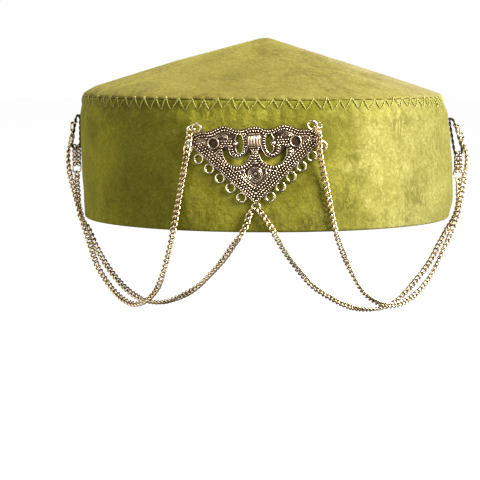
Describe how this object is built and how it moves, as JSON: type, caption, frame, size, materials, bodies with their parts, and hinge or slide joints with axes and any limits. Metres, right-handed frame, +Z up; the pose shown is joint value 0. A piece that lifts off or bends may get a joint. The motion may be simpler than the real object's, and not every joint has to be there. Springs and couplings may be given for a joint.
{
  "type": "hat",
  "caption": "Velvet pillbox hat with a shallow conical crown, a zigzag-stitched seam, a pierced bronze plaque on the front and hanging curb chains",
  "frame": {"origin": "Centre of the head opening, in the plane of the rim, held by the mount head_opening", "axes": "+X to the viewer's right when the plaque is seen from the front, -Y out of the plaque, +Z up to the top of the crown"},
  "size_m": [0.2007, 0.187, 0.1308],
  "materials": {
    "velvet_band": "matte",
    "velvet_crown": "matte",
    "bronze": "satin",
    "brass_rings": "polished",
    "brass_chain": "polished",
    "thread": "matte"
  },
  "bodies": {
    "root": {"side_band": "velvet_band", "crown": "velvet_crown", "plaque": "bronze", "jump_ring_left": "brass_rings", "jump_ring_right": "brass_rings", "chain_left_outer": "brass_chain", "chain_left_inner": "brass_chain", "chain_right_outer": "brass_chain", "chain_right_inner": "brass_chain", "thread_loop_left": "thread", "eye_ring_left": "brass_rings", "oval_link_left": "brass_rings", "gather_ring_left": "brass_rings", "side_chain_front_left": "brass_chain", "side_chain_back_left": "brass_chain", "thread_loop_right": "thread", "eye_ring_right": "brass_rings", "oval_link_right": "brass_rings", "gather_ring_right": "brass_rings", "side_chain_front_right": "brass_chain", "side_chain_back_right": "brass_chain"}
  },
  "joints": []
}
